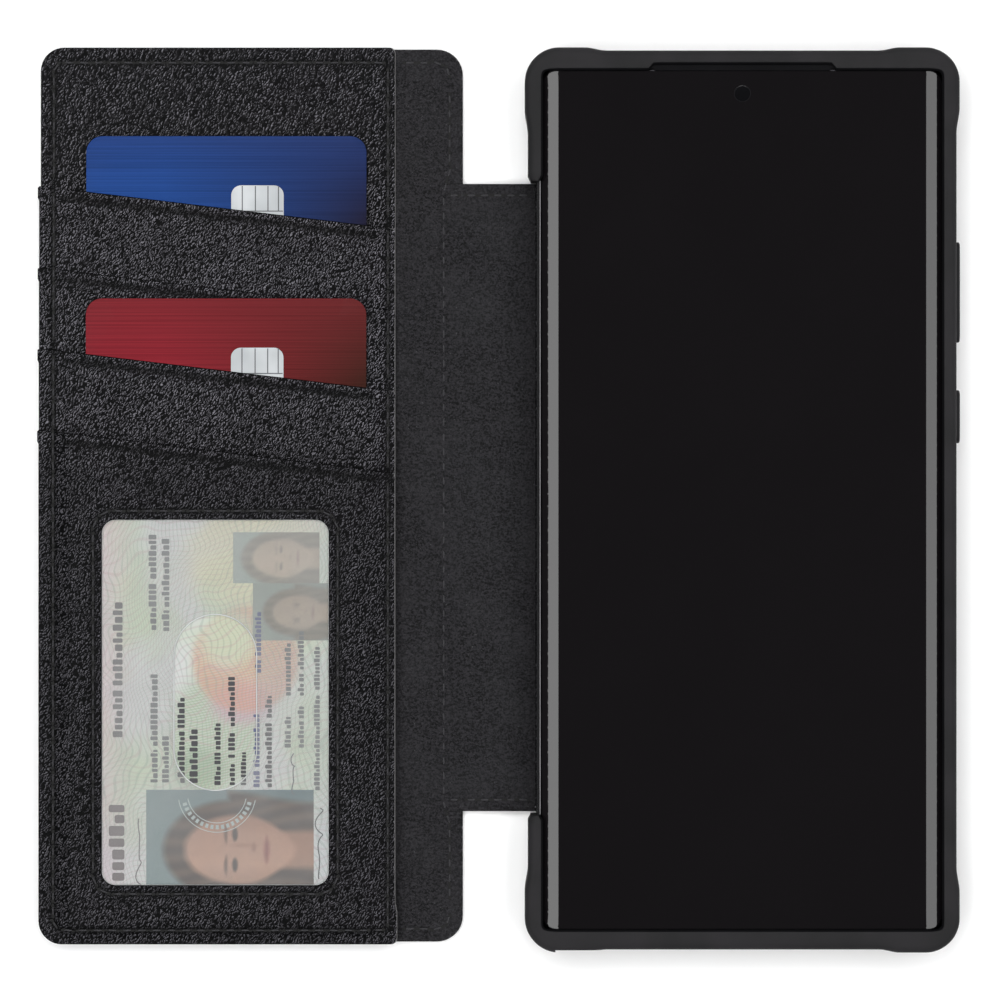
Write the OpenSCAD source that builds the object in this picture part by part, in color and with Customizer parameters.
// Folio wallet case lying open and flat, with a large phone in its shell and three cards in its pockets.
// Millimetres. The origin is the middle of the shell's back face. +Z points out of the screen and +Y to the phone's top.

/* [Phone] */
// Width of the phone that the shell is made for
phone_w = 77.2; // [66:0.1:92]
// Length of the phone
phone_l = 164.8; // [138:0.1:190]
// Thickness of the phone
phone_t = 8.1; // [6.8:0.1:11]
// Corner radius of the phone's outline
phone_r = 3; // [1:0.1:12]
// Gap all round between the phone and its shell
phone_gap = 0.15; // [0.1:0.01:0.5]
// Thickness of the front and back glass
glass_t = 0.8; // [0.4:0.05:1.2]
// How far the glass stands in from the phone's outline
glass_inset = 0.35; // [0.1:0.05:1]
// Width of the rear camera island
island_w = 24; // [12:0.5:34]
// Length of the rear camera island
island_l = 38; // [16:0.5:50]
// Distance from the phone's side and top to the island
island_edge = 5; // [3:0.5:12]
// How far the island stands out of the phone's back
island_t = 1.3; // [0.6:0.05:1.4]
// How far the lenses stand out of the island
lens_out = 0.3; // [0.1:0.05:0.4]
// Radius of the front camera under the glass
front_camera_r = 1.6; // [1:0.1:3]

/* [Shell] */
// Thickness of the leather on the shell's back
back_leather_t = 0.8; // [0.5:0.05:1.5]
// How far the back leather stops short of the bumper's outline
back_leather_inset = 0.5; // [0.2:0.1:2]
// Thickness of the hard shell's plate
plate_t = 1; // [0.8:0.05:2]
// Thickness of the hard shell's wall beside the fold
tray_wall = 0.6; // [0.4:0.05:1.2]
// Height of that wall above the plate
tray_wall_h = 7.2; // [3:0.1:8]
// Thickness of the bumper's side walls
side_wall = 2.3; // [1.8:0.1:4]
// Thickness of the bumper's end walls
end_wall = 3.55; // [1.8:0.05:6]
// Outer corner radius of the bumper
bumper_r = 6; // [3:0.1:12]
// How far the corner bumpers stand out
bump_out = 0.6; // [0.2:0.1:2]
// Length of the corner bumpers along each side
bump_len = 14; // [8:0.5:24]
// Height of the lip above the screen
lip_h = 0.9; // [0.5:0.05:2]
// How far the lip reaches over the screen at the sides
lip_over = 0.45; // [0.2:0.05:1.5]
// Width of the earpiece notch in the lip
earpiece_w = 35; // [8:0.5:50]
// Depth of the earpiece notch
earpiece_d = 1.15; // [0.4:0.05:2]
// Thickness of the rim round the camera window
bezel_t = 1.2; // [0.8:0.1:3]
// Gap between the camera island and that rim
bezel_gap = 0.5; // [0.2:0.05:1.5]

/* [Ports and keys] */
// Width of the charging-port opening
port_w = 12.5; // [9:0.5:18]
// Height of the charging-port opening
port_h = 6; // [4.5:0.1:7]
// Centre of the loudspeaker opening from the middle
speaker_x = 18; // [12:0.5:30]
// Width of the loudspeaker opening
speaker_w = 11; // [4:0.5:16]
// Height of the loudspeaker opening
speaker_h = 2.2; // [1:0.1:4]
// Centre of the stylus opening from the middle
stylus_x = -31.5; // [-36:0.5:-20]
// Width of the stylus opening
stylus_w = 7.9; // [5:0.1:12]
// Height of the stylus opening
stylus_h = 5.4; // [3:0.1:7]
// Corner radius of the stylus opening
stylus_r = 1.2; // [0.4:0.1:1.5]
// Depth of the scoop in the outer wall at the stylus
stylus_scoop = 0.55; // [0.2:0.1:1.5]
// Middle of the volume key along the side
volume_y = 39.85; // [20:0.5:60]
// Length of the volume key
volume_l = 19.3; // [10:0.1:30]
// Middle of the power key along the side
power_y = 16; // [-10:0.5:40]
// Length of the power key
power_l = 10.2; // [6:0.1:20]
// Height of both keys across the wall
key_h = 3; // [2:0.1:5]
// How far the keys stand out of the wall
key_out = 0.8; // [0.3:0.1:1.5]
// How far a key presses in
key_travel = 0.35; // [0.2:0.05:0.6]
// Gap between a key and its slot
key_gap = 0.2; // [0.1:0.05:0.5]

/* [Cover] */
// How far the cover's top edge reaches past the shell's
cover_over_top = 0.8; // [-4:0.1:8]
// How far the cover's bottom edge stops short of the shell's
cover_under_bottom = 0.9; // [-8:0.1:4]
// Corner radius of the cover
cover_r = 5; // [2:0.5:12]
// How far the cover's corner tabs reach past its fold
tab_out = 1.95; // [0.5:0.05:4]
// Thickness of the outer leather
leather_t = 0.7; // [0.5:0.05:1.5]
// Thickness of the stiffener board
board_t = 0.6; // [0.4:0.05:1.5]
// How far the board stops short of the cover's edges
board_inset = 3; // [1:0.5:8]
// Thickness of the suede lining
lining_t = 0.3; // [0.2:0.05:1]

/* [Spine] */
// Distance from the shell's top end to the spine
spine_top_in = 25.4; // [12:0.1:50]
// Distance from the shell's bottom end to the spine
spine_bottom_in = 26.1; // [12:0.1:50]
// Gap between the spine's ends and what they fold past
spine_gap = 0.4; // [0.3:0.05:1.5]
// Gap between the folded spine and the hard shell's wall
fold_gap = 0.25; // [0.2:0.05:1]
// Gap between the closed pockets and the bumper's lip
closed_gap = 0.2; // [0.2:0.05:2]
// Gap between two plies that turn about one fold
turn_gap = 0.15; // [0.1:0.05:0.5]

/* [Pockets] */
// Distance from the fold to the pocket panel's inner edge
panel_back = 11; // [5:0.1:20]
// Room beside a card that lies in the middle of its pocket
card_room = 3.21; // [2.5:0.01:6]
// Thickness of the pocket panel over the cash pocket
panel_t = 0.35; // [0.2:0.05:1]
// Gap between plies, and between a card and its pocket
ply_gap = 0.04; // [0.03:0.01:0.2]
// Thickness of each card pocket
pocket_t = 0.2; // [0.15:0.05:0.6]
// Thickness of the identity-card pocket
id_pocket_t = 0.3; // [0.2:0.05:0.8]
// Width of the sewn seams down the pockets' sides
seam_w = 4; // [3:0.1:6]
// Width of the sewn seam along the bottom
bottom_seam_w = 2.9; // [2:0.1:5]
// Distance from the cover's top edge to the first slot's upper end
slot_down = 26.7; // [20:0.1:40]
// How much lower a slot's edge is at the fold side
slot_drop = 7.7; // [0:0.1:16]
// Width of each seam under a pocket
foot_w = 1; // [0.6:0.1:2]
// Width of the clear window
window_w = 43.6; // [30:0.1:50]
// Length of the clear window
window_l = 70.2; // [50:0.1:76]
// Distance from the last slot's upper end to the clear window
window_down = 17.05; // [10:0.05:24]
// How far the clear window is off the panel's middle
window_shift = -0.4; // [-2:0.1:2]
// Corner radius of the clear window
window_r = 2.5; // [1:0.1:8]
// Thickness of the clear film
film_t = 0.15; // [0.1:0.05:0.4]
// How far the film reaches behind the window's edge
film_margin = 3; // [1:0.1:4]
// Width of the thumb hole in the film
thumb_w = 15.9; // [10:0.1:24]
// Length of the thumb hole in the film
thumb_l = 33.8; // [18:0.1:50]

/* [Cards] */
// Card width, as ISO ID-1
card_w = 53.98; // [50:0.01:58]
// Card length, as ISO ID-1
card_l = 85.6; // [80:0.01:90]
// Card thickness
card_t = 0.76; // [0.5:0.01:1]
// Card corner radius
card_r = 3.18; // [1:0.01:5]
// How far the bank cards are off the panel's middle
card_shift = 1.6; // [-2:0.1:2]
// How far a bank card stands out above its slot's upper end
card_out = 9.9; // [4:0.1:14]
// How far the identity card is off the panel's middle
id_shift = -0.4; // [-2:0.1:2]
// How far the identity card stays below its slot's upper end
id_in = 9.25; // [-4:0.05:12]
// Room between the identity card and the bottom seam
id_room = 0.7; // [0.2:0.1:3]
// Width of the contact plate
chip_w = 10.1; // [8:0.1:14]
// Length of the contact plate
chip_l = 12.4; // [8:0.1:14]
// Thickness of the contact plate
chip_t = 0.03; // [0.01:0.005:0.035]
// Distance from a card's top to its contact plate
chip_down = 9.5; // [6:0.1:20]
// How far the contact plate is off the card's middle
chip_side = 6; // [-12:0.1:12]

/* [Stitching] */
// Distance between stitches
stitch_pitch = 2.8; // [1.5:0.1:5]
// Length of a stitch
stitch_l = 1.7; // [0.8:0.1:3]
// Width of the thread
stitch_w = 0.35; // [0.2:0.05:0.8]
// Height of a stitch above what it is sewn through
stitch_t = 0.06; // [0.03:0.01:0.14]
// Distance from the free edge to its stitch line
edge_stitch = 3.2; // [1.5:0.1:5]
// Distance from the pocket panel's inner edge to its stitch line
panel_stitch = 1.4; // [1:0.1:4]
// Distance from the fold to the lining's stitch line
fold_stitch = 1.5; // [1.1:0.1:4]
// Distance from the clear window to its stitch line
window_stitch = 1.6; // [0.8:0.1:2]

/* [Hidden] */

$fn = 96;
eps = 0.01;
bond = 0.02;
leather_colour = [0.13, 0.13, 0.14];
suede_colour = [0.19, 0.19, 0.2];
bumper_colour = [0.2, 0.2, 0.21];
black_colour = [0.05, 0.05, 0.06];

// shell levels
plate_z = back_leather_t;
phone_z = plate_z + plate_t + 0.05;
phone_top = phone_z + phone_t;
shell_top = phone_top + lip_h;
mid_z = phone_z + phone_t / 2;
cavity_w = phone_w + 2 * phone_gap;
cavity_l = phone_l + 2 * phone_gap;
shell_w = cavity_w + 2 * side_wall;
shell_l = cavity_l + 2 * end_wall;
tray_x = -(cavity_w / 2 + tray_wall);
island_x = phone_w / 2 - island_edge - island_w / 2;
island_y = phone_l / 2 - island_edge - island_l / 2;
island_z = phone_z - island_t;
island_r = 5;
corner_x = shell_w / 2 + bump_out - bump_len - 0.6;
corner_y = shell_l / 2 + bump_out - bump_len - 0.6;
cover_top = shell_l / 2 + cover_over_top;
cover_bottom = shell_l / 2 - cover_under_bottom;
spine_top = shell_l / 2 - spine_top_in;
spine_bottom = shell_l / 2 - spine_bottom_in;

// fold geometry
fold_t = leather_t + board_t + lining_t;
fold_z = fold_t / 2;
fold_a_x = tray_x - fold_gap - (fold_t - fold_z);
function past(z0, z1) = max(abs(z0 - fold_z), abs(z1 - fold_z)) + turn_gap;

// cover levels
board_z = leather_t;
lining_z = board_z + board_t;
panel_z = fold_t + ply_gap;
blue_z = panel_z + panel_t + stitch_t + bond;
pocket_1_z = blue_z + card_t + ply_gap;
pocket_2_z = pocket_1_z + pocket_t + ply_gap;
red_z = pocket_2_z + pocket_t + ply_gap;
pocket_3_z = red_z + card_t + ply_gap;
id_z = pocket_3_z + pocket_t + ply_gap;
film_z = id_z + card_t + ply_gap;
id_pocket_z = film_z + film_t + bond;
stack_top = id_pocket_z + id_pocket_t;

// the spine is as long as the closed case needs it to be
spine_w = shell_top + closed_gap + (stack_top - fold_z) - fold_z;
fold_b_x = fold_a_x - spine_w;
panel_w = card_w + 2 * card_room + 2 * seam_w;
cover_w = panel_w + panel_back;
free_x = fold_b_x - cover_w;
panel_x = free_x + panel_w;
panel_mid_x = free_x + panel_w / 2;
inner_left = free_x + seam_w;
inner_right = panel_x - seam_w;
slope = slot_drop / (panel_w - seam_w);
slot_top = cover_top - slot_down;
id_y = -cover_bottom + bottom_seam_w + id_room + card_l / 2;
slot_pitch = (slot_top - id_y - card_l / 2 - id_in) / 3;
blue_y = slot_top + card_out - card_l / 2;
red_y = blue_y - 2 * slot_pitch;
foot_1_y = blue_y - card_l / 2 - ply_gap - foot_w;
foot_2_y = foot_1_y - slot_pitch;
foot_3_y = red_y - card_l / 2 - ply_gap - foot_w;
window_mid_x = panel_mid_x + window_shift;
window_mid_y = slot_top - 3 * slot_pitch - window_down - window_l / 2;

function slot_y(n, x) = slot_top - n * slot_pitch - slope * (x - free_x - seam_w / 2);

// outlines
module rounded(w, l, r) {
  square([w - 2 * r, l], center = true);
  square([w, l - 2 * r], center = true);
  for (sx = [-1, 1], sy = [-1, 1])
    translate([sx * (w / 2 - r), sy * (l / 2 - r)])
      circle(r);
}

module oblong(w, l) {
  square([w, l - w], center = true);
  for (s = [-1, 1])
    translate([0, s * (l - w) / 2])
      circle(d = w);
}

module slab(z, t) {
  translate([0, 0, z])
    linear_extrude(t)
      children();
}

module block(x0, x1, y0, y1, z0, z1) {
  translate([x0, y0, z0])
    cube([x1 - x0, y1 - y0, z1 - z0]);
}

module bumper_outline() {
  rounded(shell_w, shell_l, bumper_r);
  intersection() {
    rounded(shell_w + 2 * bump_out, shell_l + 2 * bump_out, bumper_r);
    for (sx = [-1, 1], sy = [-1, 1])
      translate([sx * (shell_w / 2 + bump_out - bump_len / 2), sy * (shell_l / 2 + bump_out - bump_len / 2)])
        square(bump_len, center = true);
  }
}

module fold_recess() {
  block(
    -shell_w, -phone_w / 2 + lip_over + eps, -spine_bottom - spine_gap, spine_top + spine_gap,
    -1, shell_top + 1
  );
}

module camera_window(extra) {
  translate([island_x, island_y])
    rounded(island_w + 2 * (bezel_gap + extra), island_l + 2 * (bezel_gap + extra), island_r + bezel_gap + extra);
}

module back_leather() {
  color(leather_colour)
    difference() {
      slab(0, back_leather_t)
        difference() {
          rounded(shell_w - 2 * back_leather_inset, shell_l - 2 * back_leather_inset, bumper_r - back_leather_inset);
          camera_window(bezel_t + bond);
        }
      block(-shell_w, fold_a_x + past(0, back_leather_t), -spine_bottom - spine_gap, spine_top + spine_gap, -1, plate_z + 1);
    }
}

module hard_shell() {
  color(black_colour)
    union() {
      slab(plate_z, plate_t)
        difference() {
          union() {
            rounded(cavity_w - 2 * bond, cavity_l - 2 * bond, phone_r + phone_gap - bond);
            translate([tray_x, -spine_bottom - spine_gap + bond])
              square([tray_wall + 1, spine_top + spine_bottom + 2 * (spine_gap - bond)]);
          }
          camera_window(bezel_t + bond);
        }
      block(
        tray_x, -cavity_w / 2, -spine_bottom - spine_gap + bond, spine_top + spine_gap - bond,
        plate_z + plate_t / 2, plate_z + plate_t + tray_wall_h
      );
    }
}

module through_wall(x) {
  translate([x, -cavity_l / 2 + 1, mid_z])
    rotate([90, 0, 0])
      linear_extrude(end_wall + bump_out + 3)
        children();
}

module stylus_scoop_cut() {
  block(
    stylus_x - stylus_w / 2, stylus_x + stylus_w / 2, -shell_l / 2 - bump_out - 1,
    -shell_l / 2 - bump_out + stylus_scoop, -1, shell_top + 1
  );
}

module key_hole(y, l) {
  block(cavity_w / 2 - 1, shell_w, y - l / 2 - key_gap, y + l / 2 + key_gap, mid_z - key_h / 2 - key_gap, mid_z + key_h / 2 + key_gap);
  block(
    cavity_w / 2 - 1, cavity_w / 2 + 1, y - l / 2 - 1, y + l / 2 + 1,
    mid_z - key_h / 2 - 1, mid_z + key_h / 2 + 1
  );
}

module bumper_body() {
  difference() {
    slab(plate_z, phone_top - plate_z)
      difference() {
        bumper_outline();
        rounded(cavity_w, cavity_l, phone_r + phone_gap);
      }
    fold_recess();
    through_wall(0)
      rotate(90)
        oblong(port_h, port_w);
    through_wall(speaker_x)
      rotate(90)
        oblong(speaker_h, speaker_w);
    through_wall(stylus_x)
      rounded(stylus_w, stylus_h, stylus_r);
    stylus_scoop_cut();
    key_hole(volume_y, volume_l);
    key_hole(power_y, power_l);
  }
}

module corner_blocks() {
  for (x = [-corner_x - bump_len - 2, corner_x], y = [-corner_y - bump_len - 2, corner_y])
    block(x, x + bump_len + 2, y, y + bump_len + 2, -1, shell_top + 1);
}

module bumper_walls() {
  color(bumper_colour)
    difference() {
      bumper_body();
      corner_blocks();
      block(-shell_w, shell_w, -shell_l, -cavity_l / 2 + 3, -1, shell_top + 1);
    }
}

module bumper_port_wall() {
  color(bumper_colour)
    intersection() {
      bumper_body();
      block(-corner_x, corner_x, -shell_l, -cavity_l / 2 + 3, -1, shell_top + 1);
    }
}

module bumper_corners() {
  color(bumper_colour)
    intersection() {
      bumper_body();
      corner_blocks();
    }
}

module bumper_lip() {
  color(bumper_colour)
    difference() {
      slab(phone_top, lip_h)
        difference() {
          bumper_outline();
          rounded(phone_w - 2 * lip_over, phone_l - lip_over, 1.8);
          translate([0, phone_l / 2 - lip_over / 2])
            square([earpiece_w, 2 * earpiece_d], center = true);
        }
      fold_recess();
      stylus_scoop_cut();
    }
}

module camera_bezel() {
  color(black_colour)
    slab(0.05, plate_z + plate_t - 0.05)
      difference() {
        camera_window(bezel_t);
        camera_window(0);
      }
}

module key(y, l) {
  wall_x = cavity_w / 2;
  color(bumper_colour)
    union() {
      translate([wall_x + 0.9, y, mid_z])
        rotate([0, 90, 0])
          linear_extrude(shell_w / 2 + key_out - wall_x - 0.9)
            rounded(key_h, l, key_h / 2 - 0.1);
      block(wall_x + 0.3, wall_x + 0.9 + eps, y - l / 2 - 0.7, y + l / 2 + 0.7, mid_z - key_h / 2 - 0.7, mid_z + key_h / 2 + 0.7);
    }
}

module volume_key() {
  key(volume_y, volume_l);
}

module power_key() {
  key(power_y, power_l);
}

// the phone
module phone_frame() {
  color([0.32, 0.32, 0.34])
    difference() {
      slab(phone_z + glass_t, phone_t - 2 * glass_t)
        rounded(phone_w, phone_l, phone_r);
      translate([0, -phone_l / 2 + 6, mid_z])
        rotate([90, 0, 0])
          linear_extrude(8)
            rotate(90)
              oblong(2.8, 9.2);
    }
}

module phone_front_glass() {
  color(black_colour)
    slab(phone_top - glass_t, glass_t)
      difference() {
        rounded(phone_w - 2 * glass_inset, phone_l - 2 * glass_inset, phone_r - glass_inset);
        translate([0, phone_l / 2 - 4.6])
          circle(front_camera_r + bond);
      }
}

module phone_front_camera() {
  color([0.02, 0.02, 0.03])
    slab(phone_top - glass_t, glass_t - 0.1)
      translate([0, phone_l / 2 - 4.6])
        circle(front_camera_r);
}

module phone_back_glass() {
  color([0.25, 0.25, 0.27])
    slab(phone_z, glass_t)
      rounded(phone_w - 2 * glass_inset, phone_l - 2 * glass_inset, phone_r - glass_inset);
}

module phone_camera_island() {
  color([0.28, 0.28, 0.3])
    slab(island_z, island_t)
      translate([island_x, island_y])
        rounded(island_w, island_l, island_r);
}

module phone_camera_lenses() {
  color([0.03, 0.03, 0.05])
    slab(island_z - lens_out, lens_out)
      for (p = [[-0.19, 0.3, 5.2], [-0.19, -0.02, 5.2], [-0.19, -0.33, 4.6], [0.27, 0.22, 2]])
        translate([island_x + p[0] * island_w, island_y + p[1] * island_l])
          circle(p[2]);
}

// the spine
module spine_ply(z, t, inset) {
  g = past(z, z + t) + inset;
  block(fold_b_x + g, fold_a_x - g, -spine_bottom + inset, spine_top - inset, z, z + t);
}

module spine_leather() {
  color(leather_colour)
    spine_ply(0, leather_t, 0);
}

module spine_board() {
  color([0.35, 0.32, 0.28])
    spine_ply(board_z, board_t, 0.6);
}

module spine_lining() {
  color(suede_colour)
    spine_ply(lining_z, lining_t, 0);
}

module stitch_x(x, y, z) {
  block(x - stitch_l / 2, x + stitch_l / 2, y - stitch_w / 2, y + stitch_w / 2, z, z + stitch_t);
}

module stitch_y(x, y, z) {
  block(x - stitch_w / 2, x + stitch_w / 2, y - stitch_l / 2, y + stitch_l / 2, z, z + stitch_t);
}

module spine_thread() {
  x0 = fold_b_x + past(lining_z, fold_t) + stitch_l / 2;
  x1 = fold_a_x - past(lining_z, fold_t) - stitch_l / 2;
  n = floor((x1 - x0) / stitch_pitch);
  color(black_colour)
    for (i = [0:n], y = [-spine_bottom + 2.2, spine_top - 2.2])
      stitch_x(x0 + i * (x1 - x0) / n, y, fold_t);
}

// the cover
module cover_outline(inset) {
  w = fold_b_x + tab_out - free_x;
  l = cover_top + cover_bottom;
  translate([free_x + w / 2, (cover_top - cover_bottom) / 2])
    rounded(w - 2 * inset, l - 2 * inset, cover_r - inset);
}

module cover_ply(z, t, inset) {
  difference() {
    slab(z, t)
      cover_outline(inset);
    block(fold_b_x - past(z, z + t) - inset, fold_a_x, -spine_bottom - spine_gap, spine_top + spine_gap, z - 1, z + t + 1);
  }
}

module cover_leather() {
  color(leather_colour)
    cover_ply(0, leather_t, 0);
}

module cover_board() {
  color([0.35, 0.32, 0.28])
    slab(board_z, board_t)
      translate([(free_x + board_inset + fold_b_x - past(board_z, lining_z)) / 2, (cover_top - cover_bottom) / 2])
        rounded(
          fold_b_x - past(board_z, lining_z) - free_x - board_inset,
          cover_top + cover_bottom - 2 * board_inset, cover_r - 2
        );
}

module cover_lining() {
  color(suede_colour)
    cover_ply(lining_z, lining_t, 0.3);
}

module panel_outline(extra) {
  l = cover_top + cover_bottom + 2 * extra;
  r = cover_r - 0.5;
  translate([panel_mid_x, (cover_top - cover_bottom) / 2])
    union() {
      rounded(panel_w, l, r);
      translate([r / 2, 0])
        square([panel_w - r, l], center = true);
    }
}

module cash_pocket_panel() {
  color(leather_colour)
    slab(panel_z, panel_t)
      panel_outline(0.3);
}

module pocket(n, z, t, bottom) {
  color(leather_colour)
    slab(z, t)
      polygon([
        [inner_left, bottom],
        [inner_right, bottom],
        [inner_right, slot_y(n, inner_right)],
        [inner_left, slot_y(n, inner_left)]
      ]);
}

module card_pocket_1() {
  pocket(0, pocket_1_z, pocket_t, foot_1_y);
}

module card_pocket_2() {
  pocket(1, pocket_2_z, pocket_t, foot_2_y);
}

module card_pocket_3() {
  pocket(2, pocket_3_z, pocket_t, foot_3_y);
}

module window_shape(extra) {
  translate([window_mid_x, window_mid_y])
    rounded(window_w + 2 * extra, window_l + 2 * extra, window_r + extra);
}

module id_pocket_panel() {
  color(leather_colour)
    slab(id_pocket_z, id_pocket_t)
      difference() {
        polygon([
          [inner_left, -cover_bottom + bottom_seam_w],
          [inner_right, -cover_bottom + bottom_seam_w],
          [inner_right, slot_y(3, inner_right)],
          [inner_left, slot_y(3, inner_left)]
        ]);
        window_shape(0);
      }
}

module id_window_film() {
  color([0.85, 0.87, 0.88, 0.4])
    slab(film_z, film_t)
      difference() {
        intersection() {
          window_shape(film_margin);
          translate([panel_mid_x, window_mid_y])
            square([panel_w - 2 * seam_w - 2 * bond, 2 * window_l], center = true);
        }
        translate([window_mid_x, window_mid_y])
          oblong(thumb_w, thumb_l);
      }
}

module side_seam(x0, x1) {
  tops = [
    slot_y(0, (x0 + x1) / 2), slot_y(1, (x0 + x1) / 2),
    slot_y(2, (x0 + x1) / 2), slot_y(3, (x0 + x1) / 2)
  ];
  levels = [pocket_1_z + pocket_t, pocket_2_z + pocket_t, pocket_3_z + pocket_t, stack_top];
  for (i = [0:3])
    block(x0, x1, -cover_bottom, tops[i], panel_z + panel_t, levels[i]);
}

module pocket_side_seams() {
  color(leather_colour)
    intersection() {
      union() {
        side_seam(free_x, inner_left - bond);
        side_seam(inner_right + bond, panel_x);
      }
      slab(panel_z, stack_top)
        panel_outline(0);
    }
}

module pocket_bottom_seams() {
  z = panel_z + panel_t;
  color(leather_colour)
    union() {
      block(inner_left, inner_right, foot_1_y, foot_1_y + foot_w, z, pocket_1_z);
      block(inner_left, inner_right, foot_2_y, foot_2_y + foot_w, z, pocket_2_z);
      block(inner_left, inner_right, foot_3_y, foot_3_y + foot_w, z, pocket_3_z);
      block(inner_left, inner_right, -cover_bottom, -cover_bottom + bottom_seam_w - bond, z, stack_top);
    }
}

function seam_level(y, x) =
  y < slot_y(3, x) ? stack_top :
  y < slot_y(2, x) ? pocket_3_z + pocket_t :
  y < slot_y(1, x) ? pocket_2_z + pocket_t :
  y < slot_y(0, x) ? pocket_1_z + pocket_t :
  panel_z + panel_t;

// a row of stitches up a seam, leaving out those that would straddle a slot's edge
module seam_row(x, y0, y1) {
  n = floor((y1 - y0) / stitch_pitch);
  for (i = [0:n]) {
    y = y0 + i * (y1 - y0) / n;
    if (seam_level(y - stitch_l / 2, x) == seam_level(y + stitch_l / 2, x))
      stitch_y(x, y, seam_level(y, x));
  }
}

module plain_row_x(x0, x1, y, z) {
  n = floor((x1 - x0) / stitch_pitch);
  for (i = [0:n])
    stitch_x(x0 + i * (x1 - x0) / n, y, z);
}

module plain_row_y(x, y0, y1, z) {
  n = floor((y1 - y0) / stitch_pitch);
  for (i = [0:n])
    stitch_y(x, y0 + i * (y1 - y0) / n, z);
}

module cover_thread() {
  top_y = cover_top - edge_stitch + 0.5;
  bottom_y = -cover_bottom + edge_stitch - 0.7;
  color(black_colour)
    union() {
      seam_row(free_x + edge_stitch, -cover_bottom + cover_r + 2, cover_top - cover_r - 1);
      plain_row_x(free_x + cover_r + 1, panel_x - 3, top_y, panel_z + panel_t);
      plain_row_x(panel_x + 1.6, fold_b_x - 3.5, top_y, fold_t);
      plain_row_x(inner_left + 1.5, inner_right - 1.5, bottom_y, stack_top);
      plain_row_x(panel_x + 1.6, fold_b_x - 3.5, bottom_y, fold_t);
    }
}

module panel_edge_thread() {
  color(black_colour)
    seam_row(panel_x - panel_stitch, -cover_bottom + cover_r + 2, cover_top - 4);
}

module window_thread() {
  x0 = window_mid_x - window_w / 2 - window_stitch;
  x1 = window_mid_x + window_w / 2 + window_stitch;
  y0 = window_mid_y - window_l / 2 - window_stitch;
  y1 = window_mid_y + window_l / 2 + window_stitch;
  color(black_colour)
    union() {
      plain_row_y(x0, y0 + 3, y1 - 3, stack_top);
      plain_row_y(x1, y0 + 3, y1 - 3, stack_top);
      plain_row_x(x0 + 3, x1 - 3, y0, stack_top);
      plain_row_x(x0 + 3, x1 - 3, y1, stack_top);
    }
}

module lining_thread() {
  color(black_colour)
    plain_row_y(fold_b_x - fold_stitch, -cover_bottom + cover_r + 2, cover_top - cover_r - 2, fold_t);
}

// the cards
module card_blank(x, y, z) {
  translate([x, y])
    slab(z, card_t)
      rounded(card_w, card_l, card_r);
}

module chip_plate(x, y, z) {
  color([0.86, 0.85, 0.82])
    translate([x + chip_side, y + card_l / 2 - chip_down - chip_l / 2])
      slab(z + card_t, chip_t)
        rounded(chip_w, chip_l, 1.6);
}

module blue_card() {
  color([0.16, 0.24, 0.5])
    card_blank(panel_mid_x + card_shift, blue_y, blue_z);
}

module blue_card_chip() {
  chip_plate(panel_mid_x + card_shift, blue_y, blue_z);
}

module red_card() {
  color([0.5, 0.14, 0.17])
    card_blank(panel_mid_x + card_shift, red_y, red_z);
}

module red_card_chip() {
  chip_plate(panel_mid_x + card_shift, red_y, red_z);
}

module id_card() {
  color([0.8, 0.83, 0.82])
    card_blank(panel_mid_x + id_shift, id_y, id_z);
}

back_leather();
hard_shell();
bumper_walls();
bumper_port_wall();
bumper_corners();
bumper_lip();
camera_bezel();
volume_key();
power_key();
phone_frame();
phone_front_glass();
phone_back_glass();
phone_camera_island();
phone_camera_lenses();
phone_front_camera();
spine_leather();
spine_board();
spine_lining();
spine_thread();
cover_leather();
cover_board();
cover_lining();
cash_pocket_panel();
card_pocket_1();
card_pocket_2();
card_pocket_3();
id_pocket_panel();
id_window_film();
pocket_side_seams();
pocket_bottom_seams();
cover_thread();
panel_edge_thread();
window_thread();
lining_thread();
blue_card();
blue_card_chip();
red_card();
red_card_chip();
id_card();
